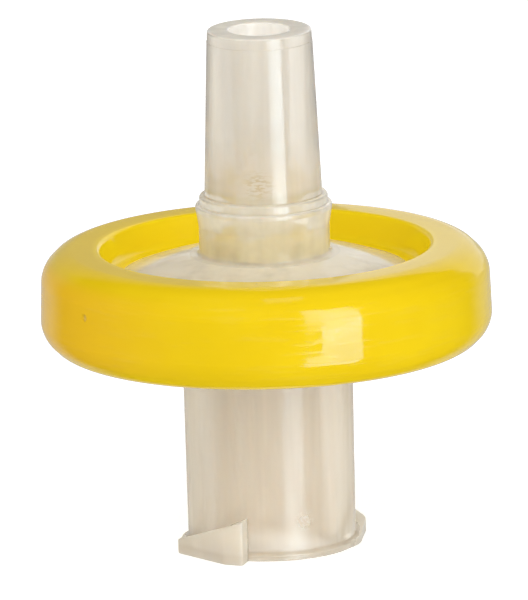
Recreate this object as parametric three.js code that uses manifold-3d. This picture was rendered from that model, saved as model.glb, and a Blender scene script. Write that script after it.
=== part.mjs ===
// Syringe filter of the 13 mm class, standing on its female Luer mouth.
// Millimetres, +Z up along the axis, origin at the centre of the mouth plane.
// Two moulded halves clamp a membrane, and a ring moulded over their rims holds them shut.
import * as THREE from 'three';
import Module from 'manifold-3d';
import { mergeVertices } from 'three/addons/utils/BufferGeometryUtils.js';

const wasm = await Module();
wasm.setup();

// ---- Driving dimensions ---------------------------------------------------------------

// Facets of the turned surfaces
const TURN_SEGMENTS = 56;
const CHORD_TOLERANCE = 0.015;

// Clearance between pieces that are clamped or moulded against each other
const FIT = 0.02;

// Membrane and the pockets that hold its edge
const MEMBRANE_DIAMETER = 13.0;
const MEMBRANE_THICKNESS = 0.18;
const MEMBRANE_GRIP = 0.9;
const RIM_LAND = 0.68;

// Hollows on both sides of the membrane, shallow at the edge and deeper round the hole
const INLET_CHAMBER_EDGE = 0.2;
const INLET_CHAMBER_FALL = 0.3;
const OUTLET_CHAMBER_EDGE = 0.2;
const OUTLET_CHAMBER_FALL = 0.6;
const INLET_MARGIN_WALL = 0.215;
const OUTLET_MARGIN_WALL = 0.415;

// Ribs that spread the liquid below the membrane and carry it above
const DISTRIBUTION_RIBS = 8;
const DISTRIBUTION_RIB_WIDTH = 0.4;
const DISTRIBUTION_RIB_SETBACK = 0.7;
const SUPPORT_RIBS = 12;
const SUPPORT_RIB_WIDTH = 0.4;
const SUPPORT_RIB_SETBACK = 0.9;
const RIB_ROOT = 0.06;

// Female Luer tube
const TUBE_LENGTH = 7.57;
const MOUTH_BORE_DIAMETER = 4.3;
const LUER_TAPER = 0.03;
const TUBE_WALL = 0.99;
const TUBE_DRAFT = 0.0064;
const TUBE_FOOT_ROUND = 0.35;
const MOUTH_BEAD = 0.1;
const MOUTH_BEAD_HEIGHT = 0.2;
const MOUTH_BEAD_RUN = 0.15;
const MOUTH_EDGE_ROUND = 0.08;
const INLET_HOLE_DIAMETER = 1.6;
const INLET_HOLE_LENGTH = 1.08;
const INLET_DOME_RISE = 0.5;
const INLET_DOME_BULGE = 0.03;

// Locking lugs of a double-start right-hand thread, angles in degrees from -Y towards +X
const LUG_COUNT = 2;
const LUG_PROJECTION = 0.83;
const LUG_CORNER_PROJECTION = 0.7;
const LUG_CORNER_ROUND = 0.35;
const LUG_END_ANGLE = -16.5;
const LUG_ARC_SPAN = 11;
const LUG_FLAT_SPAN = 40;
const LUG_HEEL_PROJECTION = 0.25;
const LUG_HEEL_SPAN = 22;
const LUG_RUN_IN_SPAN = 30;
const LUG_RUN_IN_STEPS = 4;
const LUG_END_HEIGHT = 1.66;
const LUG_LEAD = 7.8;
const LUG_FOOT_HEIGHT = 0.3;
const LUG_EDGE_ROUND = 0.15;
const LUG_EDGE_ROUND_SHARE = 0.25;
const LUG_ROOT_DEPTH = 0.4;
const LUG_ROWS = 2;
const LUG_LEVELS = 3;

// Male Luer slip tip
const TIP_LENGTH = 6.29;
const TIP_END_DIAMETER = 3.94;
const TIP_TAPER = 0.038;
const TIP_EDGE_ROUND = 0.08;
const TIP_LAND_LENGTH = 0.44;
const TIP_LAND_STEP = 0.015;
const OUTLET_BORE_DIAMETER = 2.3;
const OUTLET_BORE_TAPER = 0.012;
const OUTLET_HOLE_DIAMETER = 1.2;
const OUTLET_HOLE_LENGTH = 0.7;

// Hub and domed face below the tip
const SHOULDER_STEP = 0.2;
const SHOULDER_HEIGHT = 0.35;
const SHOULDER_ROUND = 0.12;
const LIP_STEP = 0.15;
const LIP_HEIGHT = 0.2;
const LIP_ROUND = 0.08;
const HUB_FLARE = 0.107;
const HUB_FLARE_HEIGHT = 0.6;
const HUB_HEIGHT = 1.1;
const HUB_FOOT_ROUND = 0.15;
const PLATEAU_WIDTH = 0.37;
const PLATEAU_ROUND = 0.12;
const DOME_RISE = 0.75;
const DOME_BULGE = 0.055;
const DOME_STEPS = 4;

// Clamp ring
const RING_WALL = 1.253;
const RING_DRAFT = 0.0196;
const RING_CHAMFER = 0.77;
const RING_CHAMFER_ROUND = 1.0;
const WEB_THICKNESS = 0.3;
const WINDOW_INSET = 0.19;
const LEDGE_WIDTH = 0.53;
const WELL_DRAFT = 0.27;
const WELL_FOOT_ROUND = 0.35;
const WELL_LIP_ROUND = 0.15;
const OUTLET_WELL_DEPTH = 1.03;
const INLET_WELL_DEPTH = 0.96;

// ---- Sizes that follow ------------------------------------------------------------------

// Radii from the membrane outwards
const MEMBRANE_RADIUS = MEMBRANE_DIAMETER / 2;
const SEAT_RADIUS = MEMBRANE_RADIUS + FIT;
const RIM_RADIUS = SEAT_RADIUS + RIM_LAND;
const CHAMBER_RADIUS = MEMBRANE_RADIUS - MEMBRANE_GRIP;
const WINDOW_RADIUS = CHAMBER_RADIUS - WINDOW_INSET;
const BOSS_RADIUS = WINDOW_RADIUS - FIT;
const WELL_FLOOR_RADIUS = WINDOW_RADIUS + LEDGE_WIDTH;
const RING_FOOT_RADIUS = RIM_RADIUS + FIT + RING_WALL;

// Heights from the mouth upwards
const RING_BOTTOM = TUBE_LENGTH;
const INLET_LEDGE = RING_BOTTOM + INLET_WELL_DEPTH;
const INLET_RIM_BOTTOM = INLET_LEDGE + WEB_THICKNESS + FIT;
const INLET_CHAMBER_BOTTOM = INLET_RIM_BOTTOM + INLET_MARGIN_WALL;
const SEAT_HEIGHT = INLET_CHAMBER_BOTTOM + INLET_CHAMBER_EDGE;
const MEMBRANE_BOTTOM = SEAT_HEIGHT + FIT;
const INLET_FACE = MEMBRANE_BOTTOM + MEMBRANE_THICKNESS;
const OUTLET_FACE = INLET_FACE + FIT;
const OUTLET_CHAMBER_TOP = OUTLET_FACE + OUTLET_CHAMBER_EDGE;
const OUTLET_RIM_TOP = OUTLET_CHAMBER_TOP + OUTLET_MARGIN_WALL;
const OUTLET_LEDGE = OUTLET_RIM_TOP + FIT + WEB_THICKNESS;
const RING_TOP = OUTLET_LEDGE + OUTLET_WELL_DEPTH;
const PLATEAU_HEIGHT = OUTLET_LEDGE + DOME_RISE;
const FLARE_START = PLATEAU_HEIGHT + HUB_HEIGHT;
const LIP_START = FLARE_START + HUB_FLARE_HEIGHT;
const LIP_TOP = LIP_START + LIP_HEIGHT;
const SHOULDER_TOP = LIP_TOP + SHOULDER_HEIGHT;
const TIP_TOP = SHOULDER_TOP + TIP_LENGTH;
const LAND_START = TIP_TOP - TIP_LAND_LENGTH;

// Tip and hub radii, from the tip downwards
const TIP_RADIUS = TIP_END_DIAMETER / 2;
const LAND_FOOT_RADIUS = TIP_RADIUS + TIP_TAPER * TIP_LAND_LENGTH;
const TIP_ROOT_RADIUS = TIP_RADIUS + TIP_TAPER * TIP_LENGTH;
const SHOULDER_RADIUS = TIP_ROOT_RADIUS + SHOULDER_STEP;
const LIP_RADIUS = SHOULDER_RADIUS + LIP_STEP;
const HUB_RADIUS = LIP_RADIUS - HUB_FLARE;
const PLATEAU_RADIUS = HUB_RADIUS + PLATEAU_WIDTH;

// Flow path above the membrane
const OUTLET_HOLE_RADIUS = OUTLET_HOLE_DIAMETER / 2;
const OUTLET_HOLE_BOTTOM = OUTLET_CHAMBER_TOP + OUTLET_CHAMBER_FALL;
const OUTLET_BORE_BOTTOM = OUTLET_HOLE_BOTTOM + OUTLET_HOLE_LENGTH;
const OUTLET_BORE_RADIUS = OUTLET_BORE_DIAMETER / 2;
const OUTLET_BORE_ROOT_RADIUS = OUTLET_BORE_RADIUS - OUTLET_BORE_TAPER * (TIP_TOP - OUTLET_BORE_BOTTOM);

// Flow path below the membrane
const INLET_HOLE_RADIUS = INLET_HOLE_DIAMETER / 2;
const INLET_HOLE_TOP = INLET_CHAMBER_BOTTOM - INLET_CHAMBER_FALL;
const LUER_DEPTH = INLET_HOLE_TOP - INLET_HOLE_LENGTH;
const MOUTH_BORE_RADIUS = MOUTH_BORE_DIAMETER / 2;
const LUER_ROOT_RADIUS = MOUTH_BORE_RADIUS - LUER_TAPER * LUER_DEPTH;

// Tube
const TUBE_RADIUS = MOUTH_BORE_RADIUS + TUBE_WALL;
const TUBE_FOOT_HEIGHT = INLET_LEDGE - INLET_DOME_RISE;
const TUBE_FOOT_RADIUS = TUBE_RADIUS + TUBE_DRAFT * TUBE_FOOT_HEIGHT;
const BEAD_RADIUS = TUBE_RADIUS + MOUTH_BEAD;
const LUG_RADIUS = TUBE_RADIUS + LUG_PROJECTION;
const LUG_CORNER_RADIUS = TUBE_RADIUS + LUG_CORNER_PROJECTION;
const LUG_HEEL_RADIUS = TUBE_RADIUS + LUG_HEEL_PROJECTION;
const LUG_ROOT_RADIUS = TUBE_RADIUS - LUG_ROOT_DEPTH;

// ---- Materials --------------------------------------------------------------------------

function naturalPolypropylene() {
  return new THREE.MeshStandardMaterial({ color: 0xe2dccd, roughness: 0.28, metalness: 0 });
}

function yellowPolypropylene() {
  return new THREE.MeshStandardMaterial({ color: 0xf7d416, roughness: 0.22, metalness: 0 });
}

function membraneWhite() {
  return new THREE.MeshStandardMaterial({ color: 0xf4f3ee, roughness: 0.85, metalness: 0 });
}

// ---- Solids -----------------------------------------------------------------------------

function solidFrom(geometry) {
  geometry.deleteAttribute('normal');
  geometry.deleteAttribute('uv');
  const merged = mergeVertices(geometry);
  return new wasm.Manifold(new wasm.Mesh({
    numProp: 3,
    vertProperties: new Float32Array(merged.attributes.position.array),
    triVerts: new Uint32Array(merged.index.array),
  }));
}

function geometryFrom(solid) {
  const mesh = solid.getMesh();
  const geometry = new THREE.BufferGeometry();
  geometry.setAttribute('position', new THREE.BufferAttribute(mesh.vertProperties, 3));
  geometry.setIndex(new THREE.BufferAttribute(mesh.triVerts, 1));
  geometry.computeVertexNormals();
  return geometry;
}

function part(name, solid, material) {
  const mesh = new THREE.Mesh(geometryFrom(solid), material);
  mesh.name = name;
  return mesh;
}

// The arc that rounds the corner between two neighbours, never longer than half a side
function roundedCorner(before, corner, after) {
  const [radius, height, round = 0] = corner;
  const point = new THREE.Vector2(radius, height);
  if (round === 0) {
    return [point];
  }
  const toBefore = new THREE.Vector2(before[0], before[1]).sub(point);
  const toAfter = new THREE.Vector2(after[0], after[1]).sub(point);
  const room = Math.min(toBefore.length(), toAfter.length()) / 2;
  toBefore.normalize();
  toAfter.normalize();
  const halfAngle = Math.acos(toBefore.dot(toAfter)) / 2;
  const setback = Math.min(round / Math.tan(halfAngle), room);
  const arcRadius = setback * Math.tan(halfAngle);
  const bisector = toBefore.clone().add(toAfter).normalize();
  const centre = point.clone().addScaledVector(bisector, arcRadius / Math.sin(halfAngle));
  const start = point.clone().addScaledVector(toBefore, setback).sub(centre);
  const turn = (Math.PI - 2 * halfAngle) * Math.sign(toAfter.cross(toBefore));
  const stepAngle = 2 * Math.acos(1 - CHORD_TOLERANCE / arcRadius);
  const steps = Math.max(2, Math.ceil(Math.abs(turn) / stepAngle));
  const arc = [];
  for (let step = 0; step <= steps; step += 1) {
    const spoke = start.clone().rotateAround(new THREE.Vector2(), (turn * step) / steps);
    arc.push(spoke.add(centre));
  }
  return arc;
}

// A body turned round +Z from a closed profile of corners [radius, height, rounding],
// listed anticlockwise with the radius to the right and the height upwards
function turned(corners) {
  const profile = corners.flatMap((corner, i) => {
    const before = corners.at(i - 1);
    const after = corners[(i + 1) % corners.length];
    return roundedCorner(before, corner, after);
  });
  profile.push(profile[0].clone());
  const geometry = new THREE.LatheGeometry(profile, TURN_SEGMENTS);
  geometry.rotateX(Math.PI / 2);
  return solidFrom(geometry);
}

// The inner points of a shallow arc between two corners, swelling by bulge at its middle
function shallowArc(start, end, bulge) {
  const from = new THREE.Vector2(start[0], start[1]);
  const to = new THREE.Vector2(end[0], end[1]);
  const along = to.clone().sub(from).normalize();
  const outward = new THREE.Vector2(along.y, -along.x);
  const control = from.clone().lerp(to, 0.5).addScaledVector(outward, 2 * bulge);
  const curve = new THREE.QuadraticBezierCurve(from, control, to);
  return curve.getPoints(DOME_STEPS).slice(1, -1).map((point) => [point.x, point.y]);
}

// Tall bars that stand like spokes, each starting clear of the axis and passing the membrane
function bars(count, width) {
  const blocks = [];
  for (let i = 0; i < count; i += 1) {
    const block = new THREE.BoxGeometry(MEMBRANE_RADIUS, width, RING_TOP);
    block.translate(MEMBRANE_RADIUS / 2 + width, 0, RING_TOP / 2);
    block.rotateZ((2 * Math.PI * i) / count);
    blocks.push(solidFrom(block));
  }
  return wasm.Manifold.union(blocks);
}

// ---- Outlet half ------------------------------------------------------------------------

function outletBody() {
  const domeEdge = [BOSS_RADIUS, OUTLET_LEDGE];
  const plateauEdge = [PLATEAU_RADIUS, PLATEAU_HEIGHT, PLATEAU_ROUND];
  return turned([
    [CHAMBER_RADIUS, OUTLET_FACE],
    [RIM_RADIUS, OUTLET_FACE],
    [RIM_RADIUS, OUTLET_RIM_TOP],
    [BOSS_RADIUS, OUTLET_RIM_TOP],
    domeEdge,
    ...shallowArc(domeEdge, plateauEdge, DOME_BULGE),
    plateauEdge,
    [HUB_RADIUS, PLATEAU_HEIGHT, HUB_FOOT_ROUND],
    [HUB_RADIUS, FLARE_START, HUB_FLARE_HEIGHT],
    [LIP_RADIUS, LIP_START, LIP_ROUND],
    [LIP_RADIUS, LIP_TOP, LIP_ROUND],
    [SHOULDER_RADIUS, LIP_TOP],
    [SHOULDER_RADIUS, SHOULDER_TOP, SHOULDER_ROUND],
    [TIP_ROOT_RADIUS, SHOULDER_TOP],
    [LAND_FOOT_RADIUS, LAND_START],
    [LAND_FOOT_RADIUS - TIP_LAND_STEP, LAND_START],
    [TIP_RADIUS - TIP_LAND_STEP, TIP_TOP, TIP_EDGE_ROUND],
    [OUTLET_BORE_RADIUS, TIP_TOP, TIP_EDGE_ROUND],
    [OUTLET_BORE_ROOT_RADIUS, OUTLET_BORE_BOTTOM],
    [OUTLET_HOLE_RADIUS, OUTLET_BORE_BOTTOM],
    [OUTLET_HOLE_RADIUS, OUTLET_HOLE_BOTTOM],
    [CHAMBER_RADIUS, OUTLET_CHAMBER_TOP],
  ]);
}

// Height of the sloping ceiling above the membrane at a radius
function outletCeiling(radius) {
  const share = (CHAMBER_RADIUS - radius) / (CHAMBER_RADIUS - OUTLET_HOLE_RADIUS);
  return OUTLET_CHAMBER_TOP + OUTLET_CHAMBER_FALL * share;
}

// Spokes that hang from the sloping ceiling and carry the membrane
function supportRibs() {
  const inner = OUTLET_HOLE_RADIUS + SUPPORT_RIB_SETBACK;
  const outer = CHAMBER_RADIUS + RIB_ROOT;
  const zone = turned([
    [inner, OUTLET_FACE],
    [outer, OUTLET_FACE],
    [outer, outletCeiling(outer) + RIB_ROOT],
    [inner, outletCeiling(inner) + RIB_ROOT],
  ]);
  return bars(SUPPORT_RIBS, SUPPORT_RIB_WIDTH).intersect(zone);
}

function outletHousing() {
  const solid = outletBody().add(supportRibs());
  return part('outlet_housing', solid, naturalPolypropylene());
}

// ---- Inlet half -------------------------------------------------------------------------

function inletBody() {
  const domeEdge = [BOSS_RADIUS, INLET_LEDGE];
  const tubeFoot = [TUBE_FOOT_RADIUS, TUBE_FOOT_HEIGHT, TUBE_FOOT_ROUND];
  return turned([
    [MOUTH_BORE_RADIUS, 0, MOUTH_EDGE_ROUND],
    [BEAD_RADIUS, 0, MOUTH_EDGE_ROUND],
    [BEAD_RADIUS, MOUTH_BEAD_HEIGHT],
    [TUBE_RADIUS, MOUTH_BEAD_HEIGHT + MOUTH_BEAD_RUN],
    tubeFoot,
    ...shallowArc(tubeFoot, domeEdge, INLET_DOME_BULGE),
    domeEdge,
    [BOSS_RADIUS, INLET_RIM_BOTTOM],
    [RIM_RADIUS, INLET_RIM_BOTTOM],
    [RIM_RADIUS, INLET_FACE],
    [SEAT_RADIUS, INLET_FACE],
    [SEAT_RADIUS, SEAT_HEIGHT],
    [CHAMBER_RADIUS, SEAT_HEIGHT],
    [CHAMBER_RADIUS, INLET_CHAMBER_BOTTOM],
    [INLET_HOLE_RADIUS, INLET_HOLE_TOP],
    [INLET_HOLE_RADIUS, LUER_DEPTH],
    [LUER_ROOT_RADIUS, LUER_DEPTH],
  ]);
}

// Outer outline of a lug, seen along the axis, clockwise: an arc from its end face, a flat,
// a short chord to the heel and a curve that runs in to the tube
function lugOutline() {
  const arcStart = LUG_END_ANGLE - LUG_ARC_SPAN;
  const cornerAngle = arcStart - LUG_FLAT_SPAN;
  const heelAngle = cornerAngle - LUG_HEEL_SPAN;
  const flatEnd = onCircle(LUG_RADIUS, arcStart);
  const corner = onCircle(LUG_CORNER_RADIUS, cornerAngle);
  const heel = onCircle(LUG_HEEL_RADIUS, heelAngle);
  const runIn = [];
  for (let step = 1; step <= LUG_RUN_IN_STEPS; step += 1) {
    const share = step / LUG_RUN_IN_STEPS;
    const radius = THREE.MathUtils.lerp(LUG_HEEL_RADIUS, TUBE_RADIUS, share ** 2);
    runIn.push(onCircle(radius, heelAngle - LUG_RUN_IN_SPAN * share));
  }
  return [
    onCircle(LUG_RADIUS, LUG_END_ANGLE),
    onCircle(LUG_RADIUS, LUG_END_ANGLE - LUG_ARC_SPAN / 2),
    flatEnd,
    flatEnd.clone().lerp(corner, 0.5),
    ...roundedCorner(flatEnd.toArray(), [...corner, LUG_CORNER_ROUND], heel.toArray()),
    heel,
    ...runIn,
  ];
}

function onCircle(radius, degrees) {
  const angle = THREE.MathUtils.degToRad(degrees);
  return new THREE.Vector2(radius * Math.sin(angle), -radius * Math.cos(angle));
}

// Height of a lug's top above the mouth plane: a helix that runs out into a low foot
function lugHeight(point) {
  const degrees = THREE.MathUtils.radToDeg(Math.atan2(point.x, -point.y));
  const helix = LUG_END_HEIGHT - (LUG_LEAD * (LUG_END_ANGLE - degrees)) / 360;
  return Math.max(helix, LUG_FOOT_HEIGHT);
}

// A block bent along the outline: x runs along it, y outwards from the tube and z upwards
function lugSolid() {
  const outline = lugOutline();
  const last = outline.length - 1;
  const block = new THREE.BoxGeometry(last, LUG_ROWS, LUG_LEVELS, last, LUG_ROWS, LUG_LEVELS);
  block.translate(last / 2, LUG_ROWS / 2, LUG_LEVELS / 2);
  const position = block.attributes.position;
  const grid = new THREE.Vector3();
  for (let i = 0; i < position.count; i += 1) {
    grid.fromBufferAttribute(position, i).round();
    const placed = lugVertex(outline[grid.x], grid.y, grid.z, grid.x === 0);
    position.setXYZ(i, placed.x, placed.y, placed.z);
  }
  return solidFrom(block);
}

// Rows across run from the root to the outer face, levels up from the mouth plane to the top;
// the edges round the outer face, and those of the end face, are drawn in to round them
function lugVertex(point, across, up, atEndFace) {
  const height = lugHeight(point);
  const round = Math.min(LUG_EDGE_ROUND, height * LUG_EDGE_ROUND_SHARE);
  const drawnIn = round * (1 - Math.SQRT1_2);
  const outer = across === LUG_ROWS;
  const edgeLevel = up === 0 || up === LUG_LEVELS;
  const drop = outer ? drawnIn : 0;
  const level = [drop, round, height - round, height - drop][up];
  const outerRadius = point.length() - (edgeLevel ? drawnIn : 0);
  const radius = [LUG_ROOT_RADIUS, point.length() - round, outerRadius][across];
  const flat = point.clone().setLength(radius);
  if (atEndFace && (outer || edgeLevel)) {
    flat.rotateAround(new THREE.Vector2(), -drawnIn / point.length());
  }
  return new THREE.Vector3(flat.x, flat.y, level);
}

function lugs() {
  const solids = [];
  for (let i = 0; i < LUG_COUNT; i += 1) {
    solids.push(lugSolid().rotate([0, 0, (360 * i) / LUG_COUNT]));
  }
  return wasm.Manifold.union(solids);
}

// Height of the sloping floor below the membrane at a radius
function inletFloor(radius) {
  const share = (CHAMBER_RADIUS - radius) / (CHAMBER_RADIUS - INLET_HOLE_RADIUS);
  return INLET_CHAMBER_BOTTOM - INLET_CHAMBER_FALL * share;
}

// Spokes that stand on the sloping floor and run into the chamber's wall
function distributionRibs() {
  const inner = INLET_HOLE_RADIUS + DISTRIBUTION_RIB_SETBACK;
  const outer = CHAMBER_RADIUS + RIB_ROOT;
  const zone = turned([
    [inner, inletFloor(inner) - RIB_ROOT],
    [outer, inletFloor(outer) - RIB_ROOT],
    [outer, SEAT_HEIGHT],
    [inner, SEAT_HEIGHT],
  ]);
  return bars(DISTRIBUTION_RIBS, DISTRIBUTION_RIB_WIDTH).intersect(zone);
}

function inletHousing() {
  const solid = inletBody().add(distributionRibs()).add(lugs());
  return part('inlet_housing', solid, naturalPolypropylene());
}

// ---- Membrane ---------------------------------------------------------------------------

function filterMembrane() {
  const disc = new THREE.CylinderGeometry(
    MEMBRANE_RADIUS, MEMBRANE_RADIUS, MEMBRANE_THICKNESS, TURN_SEGMENTS,
  );
  disc.rotateX(Math.PI / 2);
  disc.translate(0, 0, MEMBRANE_BOTTOM + MEMBRANE_THICKNESS / 2);
  return part('filter_membrane', solidFrom(disc), membraneWhite());
}

// ---- Clamp ring -------------------------------------------------------------------------

function clampRing() {
  const crownRadius = RING_FOOT_RADIUS - RING_DRAFT * (RING_TOP - RING_BOTTOM);
  const solid = turned([
    [WELL_FLOOR_RADIUS + WELL_DRAFT * INLET_WELL_DEPTH, RING_BOTTOM, WELL_LIP_ROUND],
    [RING_FOOT_RADIUS - RING_CHAMFER, RING_BOTTOM, RING_CHAMFER_ROUND],
    [RING_FOOT_RADIUS, RING_BOTTOM + RING_CHAMFER, RING_CHAMFER_ROUND],
    [crownRadius, RING_TOP - RING_CHAMFER, RING_CHAMFER_ROUND],
    [crownRadius - RING_CHAMFER, RING_TOP, RING_CHAMFER_ROUND],
    [WELL_FLOOR_RADIUS + WELL_DRAFT * OUTLET_WELL_DEPTH, RING_TOP, WELL_LIP_ROUND],
    [WELL_FLOOR_RADIUS, OUTLET_LEDGE, WELL_FOOT_ROUND],
    [WINDOW_RADIUS, OUTLET_LEDGE],
    [WINDOW_RADIUS, OUTLET_LEDGE - WEB_THICKNESS],
    [RIM_RADIUS + FIT, OUTLET_RIM_TOP + FIT],
    [RIM_RADIUS + FIT, INLET_RIM_BOTTOM - FIT],
    [WINDOW_RADIUS, INLET_LEDGE + WEB_THICKNESS],
    [WINDOW_RADIUS, INLET_LEDGE],
    [WELL_FLOOR_RADIUS, INLET_LEDGE, WELL_FOOT_ROUND],
  ]);
  return part('clamp_ring', solid, yellowPolypropylene());
}

// ---- Assembly ---------------------------------------------------------------------------

const syringeFilter = new THREE.Group();
syringeFilter.add(inletHousing(), filterMembrane(), outletHousing(), clampRing());

export default syringeFilter;
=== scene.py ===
import math

import bmesh
import bpy
from mathutils import Matrix, Vector


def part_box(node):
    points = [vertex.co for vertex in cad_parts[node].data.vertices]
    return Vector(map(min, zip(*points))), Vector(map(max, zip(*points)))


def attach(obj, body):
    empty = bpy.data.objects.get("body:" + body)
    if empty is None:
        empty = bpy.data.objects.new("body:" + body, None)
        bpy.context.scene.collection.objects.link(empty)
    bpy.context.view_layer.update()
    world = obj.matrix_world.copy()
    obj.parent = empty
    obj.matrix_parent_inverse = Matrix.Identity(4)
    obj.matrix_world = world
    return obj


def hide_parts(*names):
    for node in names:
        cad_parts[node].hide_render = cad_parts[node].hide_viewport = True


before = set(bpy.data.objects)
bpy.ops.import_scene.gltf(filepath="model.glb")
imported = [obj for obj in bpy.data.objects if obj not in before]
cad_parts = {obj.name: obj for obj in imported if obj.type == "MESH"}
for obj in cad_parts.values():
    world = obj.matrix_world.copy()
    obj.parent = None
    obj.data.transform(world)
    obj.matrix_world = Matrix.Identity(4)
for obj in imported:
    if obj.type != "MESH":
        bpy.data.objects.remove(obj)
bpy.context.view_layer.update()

# Syringe filter of the 13 mm class, standing on its female Luer mouth.
# Sizes are in millimetres and become metres when a mesh, a lamp or a finish is made.

MM = 0.001

# ---- Sizes ------------------------------------------------------------------------------

# Fineness of the meshes, and the most of a side that a rounding takes up
TURN_STEPS = 160
ROUND_SEGMENTS = 8
DOME_STEPS = 5
CREASE_ANGLE = math.radians(35)
ROUND_SHARE = 0.49

# What several pieces share
FIT = 0.02
RIM_LAND = 0.68
MEMBRANE_GRIP = 0.9
WEB_THICKNESS = 0.3
RIB_ROOT = 0.06
RIM_EDGE_ROUND = 0.03
HOLE_EDGE_ROUND = 0.05

# Tip and hub of the outlet half
TIP_LENGTH = 6.29
TIP_END_RADIUS = 1.97
TIP_TAPER = 0.038
TIP_EDGE_ROUND = 0.08
TIP_LAND_LENGTH = 0.42
TIP_LAND_STEP = 0.015
TIP_LAND_ROUND = 0.02
TIP_ROOT_ROUND = 0.05
OUTLET_BORE_RADIUS = 1.15
OUTLET_BORE_TAPER = 0.012
OUTLET_HOLE_RADIUS = 0.6
OUTLET_HOLE_LENGTH = 0.7
SHOULDER_STEP = 0.2
SHOULDER_HEIGHT = 0.35
SHOULDER_ROUND = 0.12
SHOULDER_FOOT_ROUND = 0.04
LIP_STEP = 0.15
LIP_HEIGHT = 0.2
LIP_ROUND = 0.08
HUB_FLARE = 0.107
HUB_FLARE_HEIGHT = 0.6
HUB_HEIGHT = 1.1
HUB_FOOT_ROUND = 0.15
PLATEAU_WIDTH = 0.37
PLATEAU_ROUND = 0.12
DOME_RISE = 0.75
DOME_BULGE = 0.055
OUTLET_CHAMBER_EDGE = 0.2
OUTLET_CHAMBER_FALL = 0.6
SUPPORT_RIBS = 12
SUPPORT_RIB_WIDTH = 0.4
SUPPORT_RIB_SETBACK = 0.9

# Tube of the inlet half
MOUTH_BORE_RADIUS = 2.15
LUER_TAPER = 0.03
LUER_ROOT_ROUND = 0.15
TUBE_WALL = 0.99
TUBE_DRAFT = 0.0064
TUBE_FOOT_ROUND = 0.35
MOUTH_EDGE_ROUND = 0.08
MOUTH_BEAD = 0.1
MOUTH_BEAD_HEIGHT = 0.2
MOUTH_BEAD_RUN = 0.15
MOUTH_BEAD_ROUND = 0.1
INLET_HOLE_RADIUS = 0.8
INLET_HOLE_LENGTH = 1.08
INLET_DOME_RISE = 0.5
INLET_CHAMBER_EDGE = 0.2
INLET_CHAMBER_FALL = 0.3
INLET_MARGIN_WALL = 0.215
DISTRIBUTION_RIBS = 8
DISTRIBUTION_RIB_WIDTH = 0.4
DISTRIBUTION_RIB_SETBACK = 0.7

# Lugs of the inlet half, with their angles in degrees from -Y towards +X
LUG_COUNT = 2
LUG_PROJECTION = 0.83
LUG_CORNER_PROJECTION = 0.7
LUG_HEEL_PROJECTION = 0.25
LUG_END_ANGLE = -16.5
LUG_ARC_SPAN = 11
LUG_FLAT_SPAN = 40
LUG_HEEL_SPAN = 22
LUG_RUN_IN_SPAN = 30
LUG_RUN_IN_STEPS = 6
LUG_END_HEIGHT = 1.66
LUG_LEAD = 7.8
LUG_FOOT_HEIGHT = 0.3
LUG_ROOT_DEPTH = 0.4
LUG_ROOT_STEPS = 8
LUG_END_ROUND = 0.1
LUG_BEND_ROUND = 0.5
LUG_CORNER_ROUND = 0.35
LUG_EDGE_ROUND = 0.12
LUG_EDGE_SEGMENTS = 5

# Membrane; its turned outline stays a pinhole away from the axis
MEMBRANE_EDGE_ROUND = 0.02
PINHOLE_RADIUS = 0.001

# Clamp ring
RING_WALL = 1.253
RING_DRAFT = 0.0196
RING_CHAMFER = 0.77
RING_CHAMFER_ROUND = 1.0
WINDOW_INSET = 0.19
LEDGE_WIDTH = 0.53
WELL_DRAFT = 0.27
WELL_FOOT_ROUND = 0.35
OUTLET_WELL_DEPTH = 1.03
OUTLET_WELL_LIP_ROUND = 0.18
INLET_WELL_DEPTH = 0.96
INLET_WELL_LIP_ROUND = 0.15

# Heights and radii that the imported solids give
ring_low, ring_high = (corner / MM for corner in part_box("clamp_ring"))
_, inlet_high = (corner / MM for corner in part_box("inlet_housing"))
outlet_low, outlet_high = (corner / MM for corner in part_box("outlet_housing"))
disc_low, disc_high = (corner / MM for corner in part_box("filter_membrane"))

RING_BOTTOM, RING_TOP = ring_low.z, ring_high.z
INLET_FACE, OUTLET_FACE, TIP_TOP = inlet_high.z, outlet_low.z, outlet_high.z
MEMBRANE_RADIUS = disc_high.x

# Radii that follow, from the membrane outwards, and the tube's
SEAT_RADIUS = MEMBRANE_RADIUS + FIT
RIM_RADIUS = SEAT_RADIUS + RIM_LAND
GRIP_RADIUS = RIM_RADIUS + FIT
RING_RADIUS = GRIP_RADIUS + RING_WALL
CHAMBER_RADIUS = MEMBRANE_RADIUS - MEMBRANE_GRIP
WINDOW_RADIUS = CHAMBER_RADIUS - WINDOW_INSET
BOSS_RADIUS = WINDOW_RADIUS - FIT
WELL_FLOOR_RADIUS = WINDOW_RADIUS + LEDGE_WIDTH
WELL_TOP_RADIUS = WELL_FLOOR_RADIUS + WELL_DRAFT * OUTLET_WELL_DEPTH
TUBE_RADIUS = MOUTH_BORE_RADIUS + TUBE_WALL

# Heights that follow, from the bottom up
INLET_LEDGE = RING_BOTTOM + INLET_WELL_DEPTH
INLET_WEB_TOP = INLET_LEDGE + WEB_THICKNESS
INLET_RIM_BOTTOM = INLET_WEB_TOP + FIT
INLET_CHAMBER_BOTTOM = INLET_RIM_BOTTOM + INLET_MARGIN_WALL
SEAT_HEIGHT = INLET_CHAMBER_BOTTOM + INLET_CHAMBER_EDGE
OUTLET_CHAMBER_TOP = OUTLET_FACE + OUTLET_CHAMBER_EDGE
OUTLET_LEDGE = RING_TOP - OUTLET_WELL_DEPTH
OUTLET_WEB_BOTTOM = OUTLET_LEDGE - WEB_THICKNESS
OUTLET_RIM_TOP = OUTLET_WEB_BOTTOM - FIT
PLATEAU_HEIGHT = OUTLET_LEDGE + DOME_RISE
FLARE_START = PLATEAU_HEIGHT + HUB_HEIGHT
LIP_START = FLARE_START + HUB_FLARE_HEIGHT
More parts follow.
